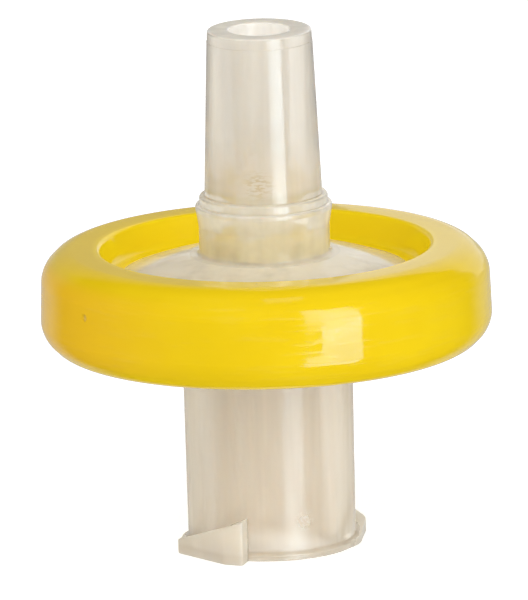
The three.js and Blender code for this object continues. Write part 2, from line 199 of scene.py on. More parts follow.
LIP_TOP = LIP_START + LIP_HEIGHT
SHOULDER_TOP = LIP_TOP + SHOULDER_HEIGHT

# ---- Looks ------------------------------------------------------------------------------

# Zones of the natural plastic: the heights between which each starts or ends, and for the
# lugs the radii
# Painted shade: the milk is darkened near the mouth between these heights
PAINTED_SHADE_FOOT_END = (0.0, 1.2)
BRIM_END = (0.3, 0.5)
LUG_START = (TUBE_RADIUS + 0.06, TUBE_RADIUS + 0.26)
TUBE_END = (RING_BOTTOM + 0.43, RING_BOTTOM + 1.43)
DISC_START = (RING_BOTTOM + 0.43, RING_BOTTOM + 2.43)
DISC_END = (PLATEAU_HEIGHT - 0.07, PLATEAU_HEIGHT + 0.33)
# Painted reflection: the yellow ring painted onto the hub's foot up to these heights, with a wavy
# edge
PAINTED_REFLECTION_END = (FLARE_START - 0.07, FLARE_START + 0.33)
PAINTED_REFLECTION_WAVE = 0.5
HUB_END = (LIP_TOP + 0.13, LIP_TOP + 0.63)
TIP_START = (SHOULDER_TOP - 0.12, SHOULDER_TOP + 0.58)
TIP_ROOT_END = (SHOULDER_TOP + 0.58, SHOULDER_TOP + 2.98)
END_FACE_START = (TIP_TOP - 0.06, TIP_TOP - 0.02)

# Zones of the ring: radii and heights, among them an upper well and an underside made brighter by
# painted light, and places along X for a left side made orange by painted shade
WALL_START = (RING_RADIUS - 0.6, RING_RADIUS - 0.1)
# Painted light: the upper well and the underside are made brighter within these radii and heights
PAINTED_LIGHT_WELL_END = (WELL_TOP_RADIUS - 0.018, WELL_TOP_RADIUS + 0.382)
PAINTED_LIGHT_UPPER_START = (OUTLET_LEDGE - 0.92, OUTLET_LEDGE - 0.42)
PAINTED_LIGHT_UNDERSIDE_END = (RING_BOTTOM, RING_BOTTOM + 0.8)
# Painted shade: the left of the wall turns orange between these places along X
PAINTED_SHADE_SIDE_END = (-8.5, -2.0)

# Small marks: centre and reach of two frosted patches, the tube's one also holding painted glints,
# of a pit and of a speck
TIP_FROST = ((-0.19, -2.17, 14.18), 0.8)
TUBE_FROST = ((1.22, -2.91, 1.46), 0.5)
RING_PIT = ((-6.81, -4.96, 9.93), 0.18)
RING_SPECK = ((-0.34, -6.68, 11.45), 0.06)

# Noise patterns: scale, detail, and stretch along X, Y and Z
CLOUDS = (0.5, 3.0, (1, 1, 1))
FLOW = (1.6, 2.0, (1, 1, 0.06))
RIPPLES = (8.0, 2.0, (0.4, 0.4, 1.4))
# Painted glints on the tube's frosted patch
PAINTED_GLINTS = (14.0, 1.0, (1, 1, 1))
MOULD_LINES = (12.0, 2.0, (0.12, 0.12, 1))
GRAIN = (14.0, 2.0, (1, 1, 1))
SHEEN = (2.5, 2.0, (1, 1, 1))
DRIFT = (0.35, 2.0, (1, 1, 1))
STREAKS = (9.0, 3.0, (0.06, 0.06, 1))
PEEL = (4.0, 2.0, (1, 1, 1))
PORES = (30.0, 3.0, (1, 1, 1))
FLOOR_GRAIN = (0.02, 2.0, (1, 1, 1))

# Levels of noise between which a pattern starts
SOFT_LEVELS = (0.3, 0.7)
CLOUD_LEVELS = (0.3, 0.75)
RIPPLE_LEVELS = (0.45, 0.6)
PAINTED_GLINT_LEVELS = (0.5, 0.6)
STREAK_LEVELS = (0.54, 0.63)

# How milky the natural plastic is, from 0 to 1: everywhere, what its zones add, and by how
# much it varies
MILK_LEAST = 0.55
MILK_ADDED = {
    "disc": 0.4,
    "hub": 0.25,
    "tip_root": 0.3,
    "end_face": 0.3,
    "lugs": 0.12,
    "brim": 0.2,
    "tube": 0.05,
}
MILK_CLOUDS = 0.3
MILK_FLOW = 0.1
MILK_SPREAD = (1.0, 0.9, 0.75)
MILK_REACH = 0.9

# Colours of the natural plastic: thin and thick clouds, then each zone in turn with how far it
# covers what is under it; some zones hold painted shade, a painted reflection, painted light and
# painted glints
CLOUD_COLOURS = ((0.72, 0.66, 0.51, 1), (0.80, 0.75, 0.62, 1))
ZONE_COLOURS_AND_PAINTED_LIGHT = (
    # Painted shade: the tube's milk is darker, as the ring shades it
    ("tube", 1.0, (0.73, 0.65, 0.54, 1)),
    ("lugs", 1.0, (0.84, 0.78, 0.69, 1)),
    ("hub", 1.0, (0.79, 0.77, 0.71, 1)),
    # Painted reflection of the yellow ring on the hub's foot
    ("hub_painted_reflection", 1.0, (0.82, 0.77, 0.59, 1)),
    ("tip_side", 1.0, (0.67, 0.635, 0.575, 1)),
    ("tip_root", 0.7, (0.80, 0.75, 0.66, 1)),
    # Painted light: the tip's end face lighter than its sides
    ("end_face", 1.0, (0.86, 0.83, 0.76, 1)),
    # Painted shade: darker near the mouth
    ("foot", 0.5, (0.50, 0.46, 0.41, 1)),
    ("tip_ripples", 0.8, (0.58, 0.48, 0.28, 1)),
    # Painted glints: near-white specks on the tube's frosted patch
    ("tube_painted_glints", 1.0, (0.97, 0.95, 0.92, 1)),
)
CLEAR_COLOUR = (0.98, 0.98, 0.97, 1)
SHADOW_COLOUR = (0.97, 0.96, 0.93, 1)
DEPTH_COLOUR = (0.85, 0.79, 0.63, 1)
DEPTH_DENSITY = 200.0

# Surface of the natural plastic: its roughness, what its zones add, and its relief
PLASTIC_IOR = 1.49
NATURAL_ROUGHNESS = (0.08, 0.14)
ROUGHNESS_ADDED = {"frost": 0.12, "tube": 0.1, "lugs": 0.12}
NATURAL_RELIEF = 0.0015
TIP_LINES = 0.6
FROST_GRAIN = 2

# Ring: two yellows that drift, an orange painted shade on its left side, painted light that
# brightens the well and underside, and its surface
RING_COLOURS = ((0.85, 0.605, 0.007, 1), (0.88, 0.64, 0.009, 1))
# Painted shade: the orange of the wall's left side
PAINTED_SHADE_SIDE_COLOUR = (0.92, 0.565, 0.022, 1)
# Painted light: the brighter yellow of the well and the underside, and how much of it the underside
# takes
PAINTED_LIGHT_COLOUR = (0.99, 0.74, 0.012, 1)
PAINTED_LIGHT_UNDERSIDE_SHARE = 0.5
SPECK_COLOUR = (0.16, 0.10, 0.03, 1)
RING_ROUGHNESS = (0.06, 0.1)
RING_SPECULAR = 0.4
RING_SPECULAR_TINT = (0.2, 0.6, 1.0, 1)
RING_RELIEF = 0.002
STREAK_ROUGHNESS = 0.14
STREAK_HEIGHT = 0.8
PIT_DEPTH = 45

# Membrane
MEMBRANE_COLOURS = ((0.86, 0.85, 0.81, 1), (0.92, 0.91, 0.88, 1))
MEMBRANE_ROUGHNESS = 0.85
MEMBRANE_RELIEF = 0.01

# ---- Camera and light -------------------------------------------------------------------

CAMERA_ELEVATION = math.radians(12.757)
CAMERA_ROLL = math.radians(-1.49)
CAMERA_DISTANCE = 874.2
CAMERA_LENS = 1400.0
TARGET_HEIGHT = 9.319
TARGET_OFFSET = -0.0787

# Floor
FLOOR_HALF_WIDTH = 3000
FLOOR_GAP = 0.02
FLOOR_COLOURS = ((0.74, 0.74, 0.74, 1), (0.76, 0.76, 0.76, 1))
FLOOR_ROUGHNESS = 0.9
FLOOR_GLOW = 0.6
FLOOR_BOUNCE = 0.25

# Ramps of light over a direction's X, Y or Z: from, to, and the levels before and after
FLOOR_THROUGH_PART = (-0.9, 0.1, 0.3, FLOOR_GLOW)
SKY_THROUGH_PART = (-0.9, 0.1, 0.6, 1.0)
SKY_MIRRORED_BEHIND = (0.58, 0.82, 0.03, 0.9)
SKY_MIRRORED_RISE = (-0.1, 0.15, 0.62, 0.41)

# The sky's level as a light, and where along X it turns from warm to white
SKY_LEVEL = 0.4
SKY_WHITE_START = (-0.8, 0.6)

# Tints of the lamps, with three channels, and of the sky, with four
LAMP_WHITE = (1, 1, 1)
LAMP_WARM = (1, 0.92, 0.84)
WINDOW_TINT = (0.75, 0.9, 1.0)
SKY_WARM = (1, 0.97, 0.92, 1)
WHITE = (1, 1, 1, 1)

# Pale card behind the right half: centre, size and radiance
BACKDROP_CENTRE = (33, 60, 41)
BACKDROP_SIZE = (60, 60)
BACKDROP_RADIANCE = 0.57

# Window panes: name, distance from the axis, azimuths in degrees, heights, radiance
WINDOW_PANES = (
    ("near_bright", 12.5, (18.6, 33.2), (7.45, 9.65), 5.9),
    ("near_foot", 12.5, (13.0, 18.6), (7.45, 8.3), 5.4),
    ("far_bright", 45, (25.5, 44.5), (3.9, 40), 7.0),
    ("far_low", 45, (25.5, 44.5), (-14, -3.2), 8.0),
    ("far_head", 45, (17.4, 25.5), (4.4, 40), 4.6),
    ("far_foot", 45, (17.4, 25.5), (-14, -3.2), 6.4),
)

# Soft boxes: name, azimuth and elevation in degrees, distance, size, radiance, tint, and
# whether reflections show them
SOFTBOXES = (
    ("key", 49, 15, 300, (220, 220), 2.4, LAMP_WHITE, False),
    ("fill", 0, 32, 300, (220, 220), 1.35, LAMP_WARM, False),
    ("top", -45, 58, 300, (200, 200), 1.7, LAMP_WARM, False),
    ("rim", -105, 10, 300, (200, 200), 0.7, LAMP_WHITE, False),
    ("back", 180, 10, 300, (300, 220), 2.0, LAMP_WHITE, False),
    ("overhead", 23, 76.8, 200, (44, 22), 1.4, LAMP_WHITE, True),
)


# ---- Modelling --------------------------------------------------------------------------

def on_circle(radius, degrees):
    """A place round the axis, by its angle from -Y towards +X."""
    angle = math.radians(degrees)
    return Vector((radius * math.sin(angle), -radius * math.cos(angle), 0))


def finished(name, bm, material):
    """Turns a bmesh in millimetres into a smooth object in metres with its material."""
    bmesh.ops.recalc_face_normals(bm, faces=bm.faces)
    bmesh.ops.scale(bm, vec=(MM, MM, MM), verts=bm.verts)
    mesh = bpy.data.meshes.new(name)
    bm.to_mesh(mesh)
    bm.free()
    mesh.shade_smooth()
    mesh.set_sharp_from_angle(angle=CREASE_ANGLE)
    mesh.materials.append(material)
    piece = bpy.data.objects.new(name, mesh)
    bpy.context.scene.collection.objects.link(piece)
    return piece


def setback(before, corner, after, radius):
    """How far along both sides an arc of this radius starts, at most near half of a side."""
    one, other = before - corner, after - corner
    room = ROUND_SHARE * min(one.length, other.length)
    return min(radius / math.tan(one.angle(other) / 2), room)


def rounded_outline(bm, corners):
    """A closed wire through corners (place, rounding), its corners rounded by vertex bevels."""
    places = [Vector(place) for place, _ in corners]
    verts = [bm.verts.new(place) for place in places]
    for i, vert in enumerate(verts):
        bm.edges.new((vert, verts[(i + 1) % len(verts)]))
    for i, (_, rounding) in enumerate(corners):
        if rounding:
            following = places[(i + 1) % len(places)]
            offset = setback(places[i - 1], places[i], following, rounding)
            bmesh.ops.bevel(
                bm, geom=[verts[i]], offset=offset, offset_type="OFFSET", affect="VERTICES",
                segments=ROUND_SEGMENTS, profile=0.5, material=-1,
            )


def turned(outline):
    """A body turned round Z from corners (radius, height, rounding) of a closed outline."""
    bm = bmesh.new()
    rounded_outline(bm, [((radius, 0, height), rounding) for radius, height, rounding in outline])
    bmesh.ops.spin(
        bm, geom=bm.verts[:] + bm.edges[:], cent=(0, 0, 0), axis=(0, 0, 1),
        angle=math.tau, steps=TURN_STEPS, use_merge=True,
    )
    return bm


def swelling(start, end, bulge):
    """The inner corners of a shallow arc between two corners."""
    (r0, z0), (r1, z1) = start, end
    length = math.hypot(r1 - r0, z1 - z0)
    outward = ((z1 - z0) / length, (r0 - r1) / length)
    inner = []
    for i in range(1, DOME_STEPS):
        share = i / DOME_STEPS
        rise = 4 * bulge * share * (1 - share)
        inner.append((
            r0 + (r1 - r0) * share + outward[0] * rise,
            z0 + (z1 - z0) * share + outward[1] * rise,
            0,
        ))
    return inner


def join(piece, tool):
    """Makes one solid of piece and tool, which is used up."""
    union = piece.modifiers.new("union", "BOOLEAN")
    union.object = tool
    union.operation = "UNION"
    union.solver = "EXACT"
    graph = bpy.context.evaluated_depsgraph_get()
    mesh = bpy.data.meshes.new_from_object(piece.evaluated_get(graph))
    piece.modifiers.clear()
    mesh.name = piece.name
    mesh.set_sharp_from_angle(angle=CREASE_ANGLE)
    piece.data = mesh
    bpy.data.objects.remove(tool)


def dress(piece, node):
    """The piece stands for its CAD node and takes the record's slot."""
    even = piece.modifiers.new("even_normals", "WEIGHTED_NORMAL")
    even.keep_sharp = True
    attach(piece, "root")
    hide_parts(node)


# ---- Finishes ---------------------------------------------------------------------------

class Value:
    """A shader socket that takes part in Python expressions, each of which adds a Math node."""

    def __init__(self, finish, socket):
        self.finish = finish
        self.socket = socket

    def maths(self, operation, first, second):
        return self.finish.node("ShaderNodeMath", {"operation": operation}, {0: first, 1: second})

    def __add__(self, other):
        return self.maths("ADD", self, other)

    __radd__ = __add__

    def __sub__(self, other):
        return self.maths("SUBTRACT", self, other)

    def __rsub__(self, other):
        return self.maths("SUBTRACT", other, self)

    def __mul__(self, other):
        return self.maths("MULTIPLY", self, other)


class Finish:
    """A node tree, of a material or of the world, that grows one node at a time."""

    def __init__(self, owner):
        owner.use_nodes = True
        self.owner = owner
        self.tree = owner.node_tree
        self.tree.nodes.clear()

    def node(self, kind, settings, inputs, output=0):
        """Adds a node; each input is a number, a colour or the value of another node."""
        made = self.tree.nodes.new(kind)
        for name, value in settings.items():
            setattr(made, name, value)
        for key, value in inputs.items():
            self.feed(made.inputs[key], value)
        return Value(self, made.outputs[output] if made.outputs else None)

    def feed(self, socket, value):
        """Links another node's value to the socket, or writes a plain one into it."""
        if isinstance(value, Value):
            self.tree.links.new(value.socket, socket)
        else:
            socket.default_value = value

    def blend(self, factor, first, second):
        """A colour between two others."""
        made = self.tree.nodes.new("ShaderNodeMix")
        made.data_type = "RGBA"
        for name, kind, value in (
            ("Factor", "VALUE", factor), ("A", "RGBA", first), ("B", "RGBA", second),
        ):
            self.feed(next(s for s in made.inputs if s.name == name and s.type == kind), value)
        return Value(self, next(s for s in made.outputs if s.type == "RGBA"))

    def coordinates(self, stretch=(1, 1, 1)):
        """Object coordinates in millimetres, each times its stretch."""
        places = self.node("ShaderNodeTexCoord", {}, {}, "Object")
        millimetres = [factor / MM for factor in stretch]
        return self.node("ShaderNodeMapping", {}, {"Vector": places, "Scale": millimetres})

    def along(self, vector, axis):
        return self.node("ShaderNodeSeparateXYZ", {}, {"Vector": vector}, axis)

    def height(self):
        """Height above the mouth plane, in millimetres."""
        return self.along(self.coordinates(), "Z")

    def radius(self):
        """Distance from the axis, in millimetres."""
        flat = self.coordinates((1, 1, 0))
        return self.node("ShaderNodeVectorMath", {"operation": "LENGTH"}, {0: flat}, "Value")

    def noise(self, scale, detail, stretch):
        return self.node("ShaderNodeTexNoise", {}, {
            "Vector": self.coordinates(stretch), "Scale": scale, "Detail": detail,
        })

    def ramp(self, value, low, high, before, after):
        """A smooth step between two levels as the value goes from low to high."""
        return self.node("ShaderNodeMapRange", {"interpolation_type": "SMOOTHSTEP"}, {
            "Value": value, "From Min": low, "From Max": high, "To Min": before, "To Max": after,
        })

    def rising(self, value, band):
        return self.ramp(value, *band, 0.0, 1.0)

    def falling(self, value, band):
        return self.ramp(value, *band, 1.0, 0.0)

    def spot(self, centre, reach):
        """One at a centre given in millimetres, falling to nothing at the reach round it."""
        away = self.node("ShaderNodeVectorMath", {"operation": "DISTANCE"}, {
            0: self.coordinates(), 1: centre,
        }, "Value")
        return self.falling(away, (0.0, reach))

    def ray(self, kind):
        """One for the rays of a kind, such as Camera, and zero for others."""
        return self.node("ShaderNodeLightPath", {}, {}, f"Is {kind} Ray")

    def bump(self, relief, depth):
        """A normal that follows the relief, with depth in millimetres."""
        return self.node("ShaderNodeBump", {}, {
            "Strength": 1.0, "Distance": depth * MM, "Height": relief,
        })

    def principled(self, inputs):
        return self.node("ShaderNodeBsdfPrincipled", {}, inputs)

    def mix(self, factor, first, second):
        """A shader between two others."""
        return self.node("ShaderNodeMixShader", {}, {0: factor, 1: first, 2: second})

    def surface(self, shader, **inside):
        """Closes the tree with its surface, and with what the material holds inside."""
        self.node("ShaderNodeOutputMaterial", {}, {"Surface": shader, **inside})
        return self.owner


def natural_zones(finish, cloud):
    """Masks from 0 to 1 for the zones of the natural plastic."""
    height = finish.height()
    tube = finish.falling(height, TUBE_END)
    hub = finish.rising(height, DISC_END) * finish.falling(height, HUB_END)
    tip = finish.rising(height, TIP_START)
    end_face = finish.rising(height, END_FACE_START)
    tip_frost = finish.spot(*TIP_FROST)
    tube_frost = finish.spot(*TUBE_FROST)
    return {
        # painted shade near the mouth
        "foot": finish.falling(height, PAINTED_SHADE_FOOT_END),
        "brim": finish.falling(height, BRIM_END),
        "lugs": finish.rising(finish.radius(), LUG_START) * tube,
        "tube": tube,
        "disc": finish.rising(height, DISC_START) * finish.falling(height, DISC_END),
        "hub": hub,
        # painted reflection of the ring on the hub's foot
        "hub_painted_reflection": finish.falling(height + cloud * PAINTED_REFLECTION_WAVE, PAINTED_REFLECTION_END) * hub,
        "tip": tip,
        "tip_side": tip * (1 - end_face),
        "tip_root": finish.falling(height, TIP_ROOT_END) * tip,
        "end_face": end_face,
        "frost": tip_frost + tube_frost,
        "tip_ripples": tip_frost * finish.rising(finish.noise(*RIPPLES), RIPPLE_LEVELS),
        # painted glints
        "tube_painted_glints": tube_frost * finish.rising(finish.noise(*PAINTED_GLINTS), PAINTED_GLINT_LEVELS),
    }


def natural_milk(finish, zones, cloud):
    """How milky the natural plastic is on its outside."""
    milk = MILK_LEAST
    for zone, added in MILK_ADDED.items():
        milk = milk + zones[zone] * added
    flow = finish.rising(finish.noise(*FLOW), SOFT_LEVELS)
    swirl = (cloud - 0.5) * (zones["disc"] + zones["hub"]) * MILK_CLOUDS
    return milk + (swirl + (flow - 0.5) * MILK_FLOW)


def milk_colour_and_painted_light(finish, zones, cloud):
    """Colour of the milk in the natural plastic, with painted shade, a painted reflection, painted
    light and painted glints in some zones.
    """
    colour = finish.blend(cloud, *CLOUD_COLOURS)
    for zone, cover, zone_colour in ZONE_COLOURS_AND_PAINTED_LIGHT:
        colour = finish.blend(zones[zone] * cover, colour, zone_colour)
    return colour


def natural_roughness(finish, zones):
    rough = finish.ramp(finish.noise(*SHEEN), *SOFT_LEVELS, *NATURAL_ROUGHNESS)
    for zone, added in ROUGHNESS_ADDED.items():
        rough = rough + zones[zone] * added
    return rough


def natural_relief(finish, zones):
    """Moulding lines along the tube and the tip, and a grain that is coarser on the frost."""
    lines = finish.noise(*MOULD_LINES) * (zones["tube"] + zones["tip"] * TIP_LINES)
    grain = finish.noise(*GRAIN) * (zones["frost"] * FROST_GRAIN + 1)
    return finish.bump(grain + lines, NATURAL_RELIEF)


def natural_polypropylene():
    """Clear to the light that has entered it, and milky on its outside, most on the disc."""
    finish = Finish(bpy.data.materials.new("natural_polypropylene"))
    cloud = finish.rising(finish.noise(*CLOUDS), CLOUD_LEVELS)
    zones = natural_zones(finish, cloud)
    skin = {
        "Roughness": natural_roughness(finish, zones),
        "IOR": PLASTIC_IOR,
        "Normal": natural_relief(finish, zones),
    }
    clear = finish.principled({"Base Color": CLEAR_COLOUR, "Transmission Weight": 1.0, **skin})
    milky = finish.principled({
        "Base Color": milk_colour_and_painted_light(finish, zones, cloud),
        "Subsurface Weight": 1.0,
        "Subsurface Radius": MILK_SPREAD,
        "Subsurface Scale": MILK_REACH * MM,
        **skin,
    })
    inside = finish.node("ShaderNodeNewGeometry", {}, {}, "Backfacing")
    body = finish.mix(natural_milk(finish, zones, cloud) * (1 - inside), clear, milky)
    veil = finish.node("ShaderNodeBsdfTransparent", {}, {"Color": SHADOW_COLOUR})
    tint = finish.node("ShaderNodeVolumeAbsorption", {}, {
        "Color": DEPTH_COLOUR, "Density": DEPTH_DENSITY,
    })
    return finish.surface(finish.mix(finish.ray("Shadow"), body, veil), Volume=tint)


def ring_colour(finish, wall):
    """Yellow that drifts, with painted shade in orange on the left of its wall, and painted light
    in the well and below.
    """
    drift = finish.rising(finish.noise(*DRIFT), SOFT_LEVELS)
    # painted shade: orange on the left of the wall
    warm = finish.falling(finish.along(finish.coordinates(), "X"), PAINTED_SHADE_SIDE_END) * wall
    # painted light: brighter in the upper well and near the bottom
    well = finish.falling(finish.radius(), PAINTED_LIGHT_WELL_END) * finish.rising(finish.height(), PAINTED_LIGHT_UPPER_START)
    under = finish.falling(finish.height(), PAINTED_LIGHT_UNDERSIDE_END)
    colour = finish.blend(drift, *RING_COLOURS)
    colour = finish.blend(warm, colour, PAINTED_SHADE_SIDE_COLOUR)
    colour = finish.blend(well + under * PAINTED_LIGHT_UNDERSIDE_SHARE, colour, PAINTED_LIGHT_COLOUR)
    return finish.blend(finish.spot(*RING_SPECK), colour, SPECK_COLOUR)


def yellow_polypropylene():
    """Opaque glossy yellow, with fine flow streaks round its wall, a pit and a speck."""
    finish = Finish(bpy.data.materials.new("yellow_polypropylene"))
    wall = finish.rising(finish.radius(), WALL_START)
    streaks = finish.rising(finish.noise(*STREAKS), STREAK_LEVELS) * wall
    peel = finish.noise(*PEEL)
    sheen = finish.ramp(peel, *SOFT_LEVELS, *RING_ROUGHNESS)
    relief = peel + streaks * STREAK_HEIGHT - finish.spot(*RING_PIT) * PIT_DEPTH
    return finish.surface(finish.principled({
        "Base Color": ring_colour(finish, wall),
        "Roughness": sheen + streaks * STREAK_ROUGHNESS,
        "IOR": PLASTIC_IOR,
        "Specular IOR Level": RING_SPECULAR,
        "Specular Tint": RING_SPECULAR_TINT,
        "Normal": finish.bump(relief, RING_RELIEF),
    }))


def membrane_white():
    """Matt porous white."""
    finish = Finish(bpy.data.materials.new("membrane"))
    pores = finish.noise(*PORES)
    return finish.surface(finish.principled({
        "Base Color": finish.blend(pores, *MEMBRANE_COLOURS),
        "Roughness": MEMBRANE_ROUGHNESS,
        "Normal": finish.bump(pores, MEMBRANE_RELIEF),
    }))


# ---- Ribs of both halves ----------------------------------------------------------------

def ribs(name, count, width, inner, level, face, material):
    """Spokes from the radius inner to the chamber's wall, between a flat face and level(radius)."""
    outer = CHAMBER_RADIUS + RIB_ROOT
    bm = bmesh.new()
    for i in range(count):
        spoke = bmesh.ops.create_cube(bm, size=1)["verts"]
        for vert in spoke:
            radius = outer if vert.co.x > 0 else inner
            height = level(radius) if vert.co.z > 0 else face
            vert.co = Vector((radius, width * vert.co.y, height))
        bmesh.ops.rotate(bm, verts=spoke, matrix=Matrix.Rotation(math.tau * i / count, 3, "Z"))
    return finished(name, bm, material)


def outlet_ceiling(radius):
    """Height, inside the wall, just above the sloping ceiling over the membrane."""
    share = (CHAMBER_RADIUS - radius) / (CHAMBER_RADIUS - OUTLET_HOLE_RADIUS)
    return OUTLET_CHAMBER_TOP + OUTLET_CHAMBER_FALL * share + RIB_ROOT


def inlet_floor(radius):
    """Height, inside the wall, just below the sloping floor under the membrane."""
    share = (CHAMBER_RADIUS - radius) / (CHAMBER_RADIUS - INLET_HOLE_RADIUS)
    return INLET_CHAMBER_BOTTOM - INLET_CHAMBER_FALL * share - RIB_ROOT


# ---- Outlet half ------------------------------------------------------------------------

def outlet_outline():
    """From the rim up over the dome, the hub and the tip, and down through the bore."""
    land_start = TIP_TOP - TIP_LAND_LENGTH
    land_radius = TIP_END_RADIUS + TIP_TAPER * TIP_LAND_LENGTH
    tip_root = TIP_END_RADIUS + TIP_TAPER * TIP_LENGTH
    shoulder = tip_root + SHOULDER_STEP
    lip = shoulder + LIP_STEP
    hub = lip - HUB_FLARE
    hole_bottom = OUTLET_CHAMBER_TOP + OUTLET_CHAMBER_FALL
    bore_bottom = hole_bottom + OUTLET_HOLE_LENGTH
    bore_root = OUTLET_BORE_RADIUS - OUTLET_BORE_TAPER * (TIP_TOP - bore_bottom)
    dome_edge = (BOSS_RADIUS, OUTLET_LEDGE)
    plateau_edge = (hub + PLATEAU_WIDTH, PLATEAU_HEIGHT)
    return [
        (CHAMBER_RADIUS, OUTLET_FACE, RIM_EDGE_ROUND),
        (RIM_RADIUS, OUTLET_FACE, RIM_EDGE_ROUND),
        (RIM_RADIUS, OUTLET_RIM_TOP, RIM_EDGE_ROUND),
        (BOSS_RADIUS, OUTLET_RIM_TOP, RIM_EDGE_ROUND),
        (*dome_edge, RIM_EDGE_ROUND),
        *swelling(dome_edge, plateau_edge, DOME_BULGE),
        (*plateau_edge, PLATEAU_ROUND),
        (hub, PLATEAU_HEIGHT, HUB_FOOT_ROUND),
        (hub, FLARE_START, HUB_FLARE_HEIGHT),
        (lip, LIP_START, LIP_ROUND),
        (lip, LIP_TOP, LIP_ROUND),
        (shoulder, LIP_TOP, SHOULDER_FOOT_ROUND),
        (shoulder, SHOULDER_TOP, SHOULDER_ROUND),
        (tip_root, SHOULDER_TOP, TIP_ROOT_ROUND),
        (land_radius, land_start, TIP_LAND_ROUND),
        (land_radius - TIP_LAND_STEP, land_start, TIP_LAND_ROUND),
        (TIP_END_RADIUS - TIP_LAND_STEP, TIP_TOP, TIP_EDGE_ROUND),
        (OUTLET_BORE_RADIUS, TIP_TOP, TIP_EDGE_ROUND),
        (bore_root, bore_bottom, HOLE_EDGE_ROUND),
        (OUTLET_HOLE_RADIUS, bore_bottom, HOLE_EDGE_ROUND),
        (OUTLET_HOLE_RADIUS, hole_bottom, HOLE_EDGE_ROUND),
        (CHAMBER_RADIUS, OUTLET_CHAMBER_TOP, HOLE_EDGE_ROUND),
    ]


def outlet_housing(material):
    """The upper half, with the ribs that carry the membrane."""
    piece = finished("outlet_moulding", turned(outlet_outline()), material)
    join(piece, ribs(
        "support_ribs", SUPPORT_RIBS, SUPPORT_RIB_WIDTH,
        OUTLET_HOLE_RADIUS + SUPPORT_RIB_SETBACK, outlet_ceiling, OUTLET_FACE, material,
    ))
    return piece


# ---- Inlet half -------------------------------------------------------------------------

def inlet_outline():
    """From the mouth up the tube and over the disc to the seat, and down through the bore."""
    bead = TUBE_RADIUS + MOUTH_BEAD
    foot_height = INLET_LEDGE - INLET_DOME_RISE
    foot = TUBE_RADIUS + TUBE_DRAFT * foot_height
    hole_top = INLET_CHAMBER_BOTTOM - INLET_CHAMBER_FALL
    luer_depth = hole_top - INLET_HOLE_LENGTH
    luer_root = MOUTH_BORE_RADIUS - LUER_TAPER * luer_depth
    return [
        (MOUTH_BORE_RADIUS, 0, MOUTH_EDGE_ROUND),
        (bead, 0, MOUTH_EDGE_ROUND),
        (bead, MOUTH_BEAD_HEIGHT, MOUTH_BEAD_ROUND),
        (TUBE_RADIUS, MOUTH_BEAD_HEIGHT + MOUTH_BEAD_RUN, MOUTH_BEAD_ROUND),
        (foot, foot_height, TUBE_FOOT_ROUND),
        (BOSS_RADIUS, INLET_LEDGE, RIM_EDGE_ROUND),
        (BOSS_RADIUS, INLET_RIM_BOTTOM, RIM_EDGE_ROUND),
        (RIM_RADIUS, INLET_RIM_BOTTOM, RIM_EDGE_ROUND),
        (RIM_RADIUS, INLET_FACE, RIM_EDGE_ROUND),
        (SEAT_RADIUS, INLET_FACE, RIM_EDGE_ROUND),
        (SEAT_RADIUS, SEAT_HEIGHT, RIM_EDGE_ROUND),
        (CHAMBER_RADIUS, SEAT_HEIGHT, RIM_EDGE_ROUND),
        (CHAMBER_RADIUS, INLET_CHAMBER_BOTTOM, RIM_EDGE_ROUND),
        (INLET_HOLE_RADIUS, hole_top, HOLE_EDGE_ROUND),
        (INLET_HOLE_RADIUS, luer_depth, HOLE_EDGE_ROUND),
        (luer_root, luer_depth, LUER_ROOT_ROUND),
    ]


def lug_height(place):
    """Height of a lug's top: a helix that runs out into a low foot."""
    degrees = math.degrees(math.atan2(place.x, -place.y))
    helix = LUG_END_HEIGHT - LUG_LEAD * (LUG_END_ANGLE - degrees) / 360
    return max(helix, LUG_FOOT_HEIGHT)


def lug_plan():
    """Corners of a lug seen along the axis: an arc, a flat, a short chord and a run-in."""
    reach = TUBE_RADIUS + LUG_PROJECTION
    heel_radius = TUBE_RADIUS + LUG_HEEL_PROJECTION
    root = TUBE_RADIUS - LUG_ROOT_DEPTH
    arc_start = LUG_END_ANGLE - LUG_ARC_SPAN
    corner = arc_start - LUG_FLAT_SPAN
    heel = corner - LUG_HEEL_SPAN
    foot = heel - LUG_RUN_IN_SPAN
    plan = [
        (on_circle(reach, LUG_END_ANGLE), LUG_END_ROUND),
        (on_circle(reach, LUG_END_ANGLE - LUG_ARC_SPAN / 2), 0),
        (on_circle(reach, arc_start), LUG_BEND_ROUND),
        (on_circle(TUBE_RADIUS + LUG_CORNER_PROJECTION, corner), LUG_CORNER_ROUND),
        (on_circle(heel_radius, heel), LUG_BEND_ROUND),
    ]
    for step in range(1, LUG_RUN_IN_STEPS + 1):
        share = step / LUG_RUN_IN_STEPS
        radius = heel_radius + (TUBE_RADIUS - heel_radius) * share ** 2
        plan.append((on_circle(radius, heel - LUG_RUN_IN_SPAN * share), 0))
    for step in range(LUG_ROOT_STEPS + 1):
        angle = foot + (LUG_END_ANGLE - foot) * step / LUG_ROOT_STEPS
        plan.append((on_circle(root, angle), 0))
    return plan


